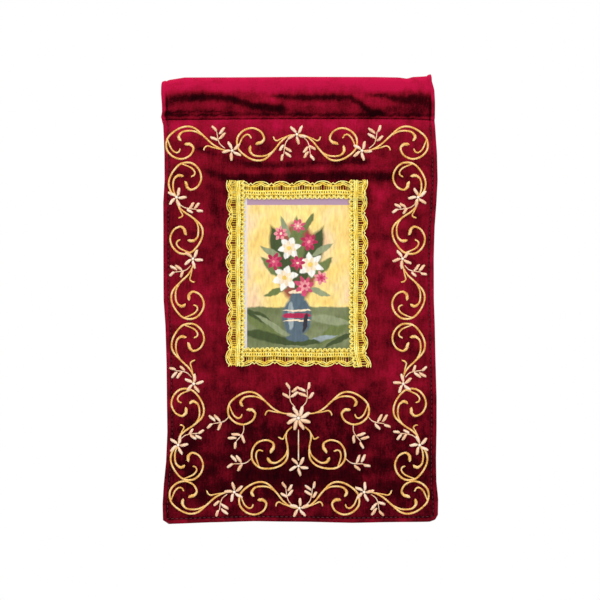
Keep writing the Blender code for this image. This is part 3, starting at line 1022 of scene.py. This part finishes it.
def onto_strip(gimp):
    """Lays (along, out, height) of a length of braid over the card, the velvet and the other lengths."""
    turned = Matrix.Rotation(-gimp.turn, 3, "Y")
    middle = np.array([PRINT_MIDDLE[0], 0.0, -PRINT_MIDDLE[1]])
    half = np.array([gimp.side * PRINT_SIZE[0] / 2, 0.0, gimp.height * PRINT_SIZE[1] / 2])

    def place(run, out, height):
        if gimp.name == "right":
            out = out + STRAY * ease((run - STRAY_FROM) / STRAY_RUN)
        level = ON_VELVET + (ON_CARD - ON_VELVET) * (1 - ease((out - 4.6) / 2.4))
        if gimp.upright:
            lapped = ease((np.abs(run) - gimp.length / 2 + LAP) / 2.5)
            level = level + (ON_BRAID - level) * lapped
        sway = 0.25 * np.sin(run * 0.09 + gimp.first) + 0.12 * np.sin(run * 0.31)
        points = np.stack([run, -level - height, out + sway], axis=-1)
        return middle + half + points @ np.array(turned).T

    return place


gold_cord = thread_material(
    "gold_gimp", (0.58, 0.34, 0.012), (1.0, 0.72, 0.075), (1.0, 0.95, 0.36),
    Roughness=0.42, Specular_IOR_Level=0.35)
# A dark sheet under the middle of each length: painted shade that darkens the holes between the cords.
shade_sheet_gold, build, shader = new_material("gimp_ground", Roughness=0.7)
where = build.place()
build.put(shader.inputs["Base Color"], build.tones(
    build.noise(where, 1400.0), (0.3, 0.055, 0.022, 0.002), (0.7, 0.16, 0.085, 0.008)))

ground = bmesh.new()
for gimp in GIMPS:
    onto = onto_strip(gimp)
    ends = gimp.length / 2
    lobes = [gimp.first + number * gimp.pitch for number in range(-1, 11)]
    lobes = [middle for middle in lobes if -ends - 1 < middle < ends + 1]
    rows = []

    def cord(line, tone=0.5, lift=0.0, slant=0.95, radius=CORD_RADIUS, pitch=CORD_PITCH):
        """One wrapped cord, cut off at the ends of the braid."""
        stitches = satin(line, tone, lift, slant, pitch, radius)
        rows.append(stitches[np.abs(stitches[:, 0]) < ends])

    def straight(out, wide, tone, lift, slant=0.95):
        line = [(run, out + 0.08 * math.sin(run * 0.7 + out), wide) for run in np.linspace(-ends, ends, 40)]
        cord(line, tone, lift, slant)

    stretch = gimp.pitch / 13
    # The scalloped edge, the picots and the raised cords take lighter tones than the rest: painted highlight on the
    # cords that stand highest.
    scallop = [(middle + x * stretch, out, wide) for middle in lobes for x, out, wide in SCALLOP]
    cord(scallop, 0.85, 0.12)
    for number, middle in enumerate(lobes):
        for arc in ARCS:
            cord([(middle + x * stretch, out, wide) for x, out, wide in arc], 0.55, 0.0)
        for x, wide in BARS[number % 2]:
            cord([(middle + x * stretch, out, wide) for out in BAR_ENDS], 0.5, -0.05, 1.35, 0.24)
    straight(5.4, 0.95, 0.5, 0.05)
    for run in np.arange(-ends + 0.8, ends, HOLE_PITCH):
        cord([(run, 1.3, 1.1), (run, 3.1, 1.1)], 0.5, -0.05, 1.3)
    for run in np.arange(-ends + 1.6, ends, 2 * HOLE_PITCH):
        cord([(run + x, out, wide) for x, out, wide in PICOT], 0.8, 0.1)
        cord([(run - 0.7, 1.1, 0.9), (run + 0.7, 1.1, 0.9)], 0.55, 0.0)
    if gimp.upright:
        straight(3.2, 1.2, 0.78, 0.35)
        straight(4.35, 1.2, 0.74, 0.35, -0.95)
    else:
        for start in (0.0, HOLE_PITCH):
            turns = np.arange(-ends, ends, HOLE_PITCH)
            cord([(run + start, 2.9 + 2.7 * (number % 2), 0.85) for number, run in enumerate(turns)], 0.62, 0.15)
    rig.slot(braid := work(f"braid_cords_{gimp.name}", rows, gold_cord, onto), "gold_braid")
    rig.replaces(braid, f"braid_{gimp.name}")
    strip = bmesh.ops.create_grid(ground, x_segments=60, y_segments=4, size=0.5)["verts"]
    spots = np.array([vert.co for vert in strip])
    run, out = spots[:, 0] * (gimp.length - 1.0), SHADE_SHEET_OUT + spots[:, 1] * SHADE_SHEET_WIDE
    for vert, spot in zip(strip, onto(run, out, np.full(len(strip), -0.05)) * MM):
        vert.co = spot

bmesh.ops.recalc_face_normals(ground, faces=ground.faces)
shade_sheet = add_piece("braid_ground", ground, shade_sheet_gold)
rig.ride(shade_sheet, "root")
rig.slot(shade_sheet, "gold_braid")


# ---------------------------------------------------------------- print
# A small glossy card print, slipped behind the braid: white and crimson flowers in a blue vase
# on a green table, against a golden wall, with a lilac edge above and a bare margin at the left.
CARD_EDGE = 4.0
CARD_THICK = 1.0
CARD_BACK = -1.05
# Edges on the print, from its middle, and how far the brush wanders from a true shape.
TABLE_TOP = -21.6
LILAC_EDGE = 45.4
BARE_EDGE = -33.0
WANDER = 1.6
WHITE, CREAM = (0.88, 0.86, 0.80), (0.90, 0.72, 0.50)
CRIMSON, ROSE, PINK = (0.42, 0.012, 0.07), (0.62, 0.06, 0.15), (0.80, 0.30, 0.32)
SLATE, INK, MIST = (0.085, 0.13, 0.17), (0.025, 0.02, 0.03), (0.30, 0.36, 0.38)
MOSS, SAGE, PINE = (0.14, 0.18, 0.05), (0.27, 0.31, 0.17), (0.045, 0.07, 0.015)
RUST, STRAW = (0.30, 0.07, 0.04), (0.86, 0.58, 0.12)
# A painted shape: its middle, turn in degrees, half length, half width, how pointed, and its colour.
Painted = namedtuple("Painted", "across up turn long wide point colour")
shapes = [Painted(*row) for row in (
    (-24, -34, -38, 22, 5.0, 1, MOSS), (-20, -42, -12, 20, 4.0, 1, PINE), (-25, -29, -30, 13, 3.2, 1, PINE),
    (25, -38, 40, 17, 5.0, 1, MOSS), (28, -44, 28, 12, 2.2, 1, PINE), (22, -31, -8, 16, 3.5, 1, SAGE),
    (-14, -36, -32, 18, 2.2, 1, SAGE), (14, -44, 12, 14, 2.0, 1, MIST), (0, -45.5, 0, 17, 2.4, 0, PINE),
    (0, 8, 90, 28, 15.5, 0, RUST), (-9, 10, 112, 25, 8.0, 1, PINE), (9, 10, 68, 25, 8.0, 1, PINE),
    (0, 20, 90, 20, 6.0, 1, MOSS), (-15, 3, 140, 13, 4.0, 1, MOSS), (15, 3, 40, 13, 4.0, 1, MOSS),
    (-17, 14, 150, 9, 2.6, 1, SAGE), (17, 16, 30, 9, 2.6, 1, SAGE), (-8, 31, 115, 9, 2.4, 1, SAGE),
    (7, 33, 60, 9, 2.4, 1, MOSS), (-14, -12, 200, 9, 2.4, 1, MOSS), (14, -12, -20, 9, 2.4, 1, SAGE),
    (0, -29, 90, 14.5, 10.5, 0, SLATE), (0, -16.5, 90, 6.5, 5.0, 0, SLATE), (0, -43.0, 0, 8.0, 2.6, 0, SLATE),
    (-4.0, -28, 90, 10, 2.4, 0, MIST), (0, -28, 0, 10.2, 2.0, 0, CRIMSON), (0, -24.6, 0, 10.0, 0.7, 0, CREAM),
    (0, -31.4, 0, 10.0, 0.7, 0, CREAM), (0, -12.2, 0, 6.0, 1.4, 0, CREAM), (5.5, -33, 80, 7, 1.6, 0, INK),
)]


def bloom(across, up, size, petals, outer, inner, heart, turn=0.0, point=1):
    """A painted flower: two rings of petals and a heart."""
    for ring, (reach, colour) in enumerate(((1.0, outer), (0.62, inner))):
        for number in range(petals):
            angle = turn + (number + ring / 2) * 360 / petals
            x, y = math.cos(math.radians(angle)), math.sin(math.radians(angle))
            away = size * reach * 0.55
            shapes.append(Painted(
                across + x * away, up + y * away, angle, away, size * reach * 1.9 / petals, point, colour))
    shapes.append(Painted(across, up, 0, size * 0.2, size * 0.2, 0, heart))


bloom(-8, -3, 8.5, 6, WHITE, CREAM, STRAW, 15)
bloom(9, 6, 8.5, 6, WHITE, CREAM, STRAW, 40)
bloom(-5, 17, 7.5, 6, WHITE, CREAM, STRAW, 70)
bloom(5, -8, 6.5, 7, ROSE, PINK, CRIMSON, 10, 0)
bloom(-15, 8, 5.5, 7, CRIMSON, ROSE, PINK, 25, 0)
bloom(0.5, 7, 5.0, 7, CRIMSON, ROSE, CREAM, 0, 0)
bloom(8, 21, 5.5, 7, CRIMSON, ROSE, PINK, 50, 0)
bloom(16, -3, 4.5, 7, PINK, ROSE, CRIMSON, 5, 0)
bloom(-11, 27, 4.5, 7, PINK, ROSE, CREAM, 35, 0)
bloom(1, 32, 4.5, 7, ROSE, PINK, CREAM, 20, 0)


def shape_group():
    """One brush mark: 1 inside an oval or a pointed leaf, 0 outside, with a soft edge."""
    tree, build, given, put = new_group(
        "brush_mark",
        ("Across", "Up", "Middle Across", "Middle Up", "Cosine", "Sine", "Long", "Wide", "Power"), ("Mask",))
    do = build.math
    x = do("SUBTRACT", given["Across"], given["Middle Across"])
    y = do("SUBTRACT", given["Up"], given["Middle Up"])
    on = do("ADD", do("MULTIPLY", x, given["Cosine"]), do("MULTIPLY", y, given["Sine"]))
    over = do("SUBTRACT", do("MULTIPLY", y, given["Cosine"]), do("MULTIPLY", x, given["Sine"]))
    on = do("DIVIDE", on, given["Long"])
    over = do("POWER", do("ABSOLUTE", do("DIVIDE", over, given["Wide"])), given["Power"])
    inside = do("SUBTRACT", do("SUBTRACT", 1.0, do("MULTIPLY", on, on)), over)
    build.put(put["Mask"], do("MULTIPLY", inside, 3.5, clamp=True))
    return tree


brush_mark = shape_group()
printed, build, shader = new_material(
    "printed_card", Roughness=0.34, Specular_IOR_Level=0.4, Coat_Weight=0.25, Coat_Roughness=0.12)
where = build.place()
spot = build.add("SeparateXYZ", {"Vector": where}).outputs
wander = build.add("TexNoise", {"Vector": where, "Scale": 170.0, "Detail": 3.0})
drift = build.add("SeparateColor", {"Color": wander.outputs["Color"]}).outputs
true_across = build.math("MULTIPLY_ADD", spot["X"], 1 / MM, -PRINT_MIDDLE[0])
true_up = build.math("MULTIPLY_ADD", spot["Z"], 1 / MM, PRINT_MIDDLE[1])
across = build.math("ADD", true_across, build.span(drift[0], 0, 1, -WANDER, WANDER))
up = build.math("ADD", true_up, build.span(drift[1], 0, 1, -WANDER, WANDER))
wall = build.tones(
    build.noise(where, 42.0, 3.0), (0.30, 0.93, 0.55, 0.10), (0.48, 0.93, 0.68, 0.24), (0.62, 0.90, 0.66, 0.36),
    (0.78, 0.92, 0.52, 0.36))
halo = build.math("MULTIPLY", build.span(build.math("ABSOLUTE", across), 26.0, 4.0), 0.55)
colour = build.mix(halo, wall, (0.96, 0.78, 0.28, 1.0))
table = build.tones(
    build.noise(build.add("Mapping", {"Vector": where, "Scale": (0.4, 1.0, 1.0)}).outputs[0], 90.0, 3.0),
    (0.3, 0.12, 0.15, 0.05), (0.55, 0.19, 0.22, 0.10), (0.75, 0.28, 0.31, 0.18))
colour = build.mix(build.span(up, TABLE_TOP, TABLE_TOP - 1), colour, table)
for shape in shapes:
    turn = math.radians(shape.turn)
    mark = build.add("Group", node_tree=brush_mark)
    for socket, value in (
        ("Across", across), ("Up", up), ("Middle Across", shape.across), ("Middle Up", shape.up),
        ("Cosine", math.cos(turn)), ("Sine", math.sin(turn)), ("Long", shape.long), ("Wide", shape.wide),
        ("Power", 1.0 if shape.point else 2.0),
    ):
        build.put(mark.inputs[socket], value)
    colour = build.mix(mark.outputs["Mask"], colour, (*shape.colour, 1.0))
strokes = build.add("Mapping", {"Vector": where, "Rotation": (0, 0.5, 0), "Scale": (1.0, 1.0, 0.3)}).outputs[0]
touch = build.tones(build.noise(strokes, 600.0, 2.0), (0.3, 0.78, 0.76, 0.74), (0.7, 1.15, 1.15, 1.12))
colour = build.mix(0.75, colour, touch, "MULTIPLY")
colour = build.mix(build.span(true_up, LILAC_EDGE, LILAC_EDGE + 0.4), colour, (0.42, 0.26, 0.36, 1.0))
colour = build.mix(build.span(true_across, BARE_EDGE, BARE_EDGE - 0.5), colour, (0.72, 0.66, 0.70, 1.0))
build.put(shader.inputs["Base Color"], colour)
build.bump(shader, 0.25, 0.0002, build.noise(where, 500.0, 3.0))

card = bmesh.new()
bmesh.ops.create_cube(card, size=1.0)
wide, high = PRINT_SIZE[0] + 2 * CARD_EDGE, PRINT_SIZE[1] + 2 * CARD_EDGE
bmesh.ops.scale(card, vec=(wide * MM, CARD_THICK * MM, high * MM), verts=card.verts)
bmesh.ops.bevel(card, geom=card.edges[:], offset=0.25 * MM, segments=2, profile=0.5, affect="EDGES", material=-1)
bmesh.ops.translate(card, vec=(
    PRINT_MIDDLE[0] * MM, (CARD_BACK - CARD_THICK / 2) * MM, -PRINT_MIDDLE[1] * MM), verts=card.verts)
picture = add_piece("print_card", card, printed, smooth=False)
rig.ride(picture, "root")
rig.replaces(picture, "picture_card")
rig.slot(picture, "printed_card")


# ---------------------------------------------------------------- bounds
with open("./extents.json", "w") as sizes:
    boxes = {"cad": cad_box, "visual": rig.bounds()}
    json.dump({name: [list(low), list(high)] for name, (low, high) in boxes.items()}, sizes)
